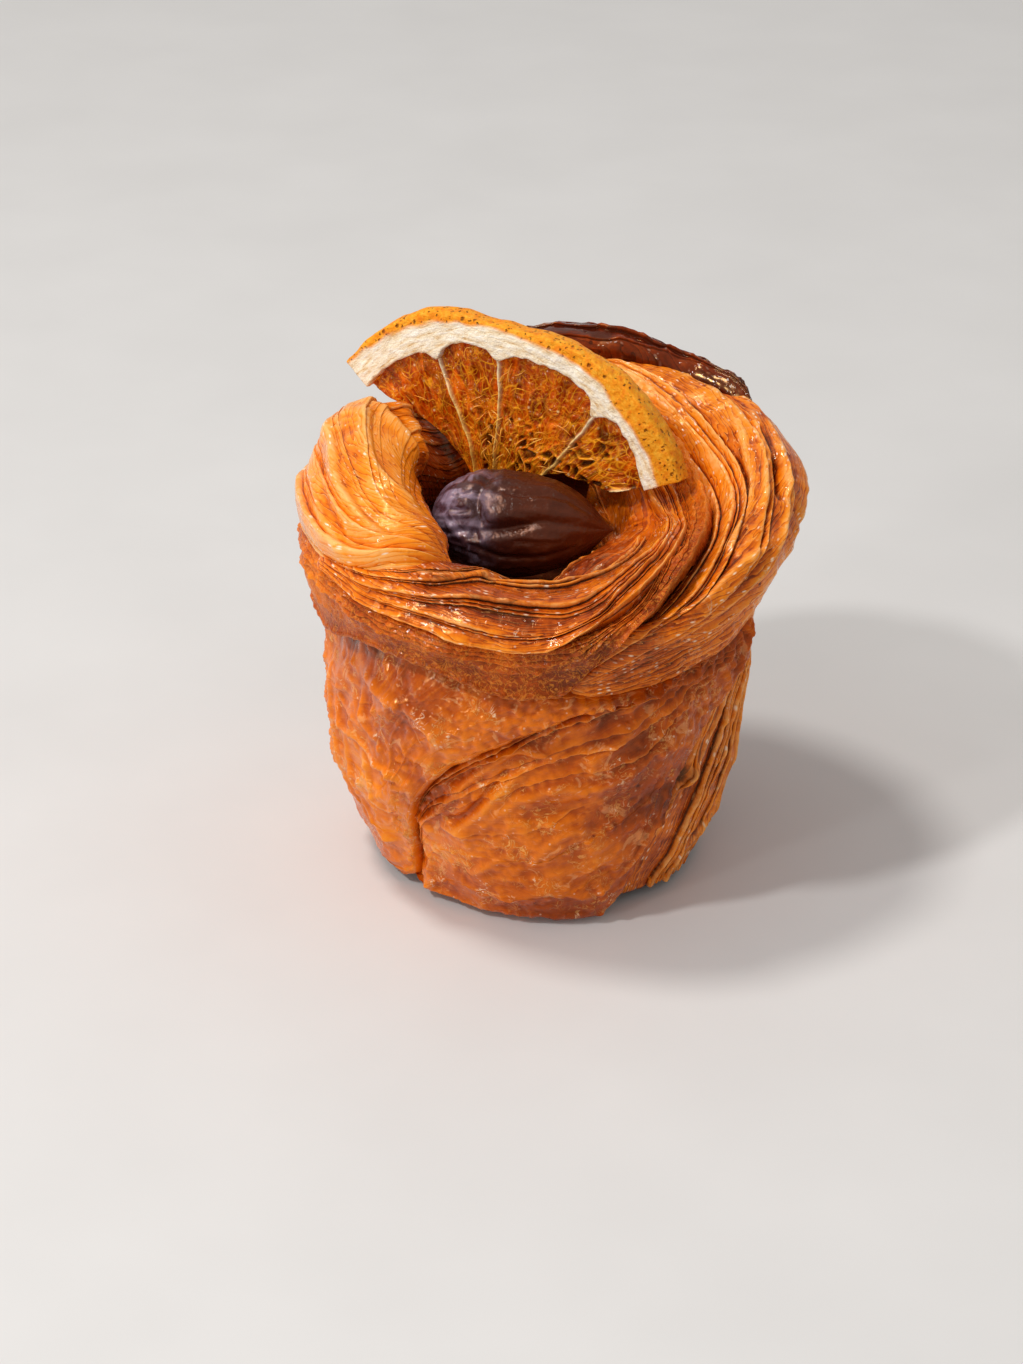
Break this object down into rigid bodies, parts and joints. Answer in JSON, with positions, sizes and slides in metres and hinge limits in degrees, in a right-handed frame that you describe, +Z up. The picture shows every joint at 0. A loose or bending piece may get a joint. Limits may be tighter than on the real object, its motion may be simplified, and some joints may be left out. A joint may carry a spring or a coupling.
{
  "type": "cruffin",
  "caption": "Tall laminated pastry with a swirled, layered crust, its open top holding a glossy dried fruit and an upright slice of dried orange.",
  "frame": {"origin": "middle of the flat foot, on the surface that the pastry stands on", "axes": "+Z up; the front of the pastry faces -Y and +X is its right, seen from the front"},
  "size_m": [0.0851, 0.0845, 0.0919],
  "materials": {
    "crust": "baked and glazed, flaky layers",
    "fruit_skin": "dark, wrinkled and glossy",
    "dried_orange": "dried peel, pale pith and amber pulp"
  },
  "bodies": {
    "root": {"pastry": "crust", "dark_fruit": "fruit_skin", "orange_slice": "dried_orange"}
  },
  "joints": []
}
